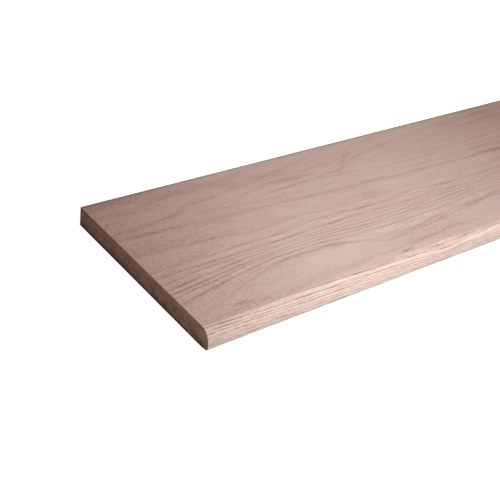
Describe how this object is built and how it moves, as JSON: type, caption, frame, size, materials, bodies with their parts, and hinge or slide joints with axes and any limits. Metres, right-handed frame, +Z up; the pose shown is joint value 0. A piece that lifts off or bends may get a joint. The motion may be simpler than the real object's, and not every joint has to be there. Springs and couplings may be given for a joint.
{
  "type": "stair tread",
  "caption": "Straight solid hardwood stair tread with a large round along the walked edge of its nose, a small round below it, and square cut ends.",
  "frame": {"origin": "middle of the underside, at the centre of the length and of the depth", "axes": "+X along the length, +Y from the nose to the back edge, +Z up to the walked face"},
  "size_m": [1.2192, 0.2922, 0.027],
  "materials": {
    "red_oak": "unfinished red oak, planed and sanded smooth"
  },
  "bodies": {
    "root": {"tread": "red_oak"}
  },
  "joints": []
}
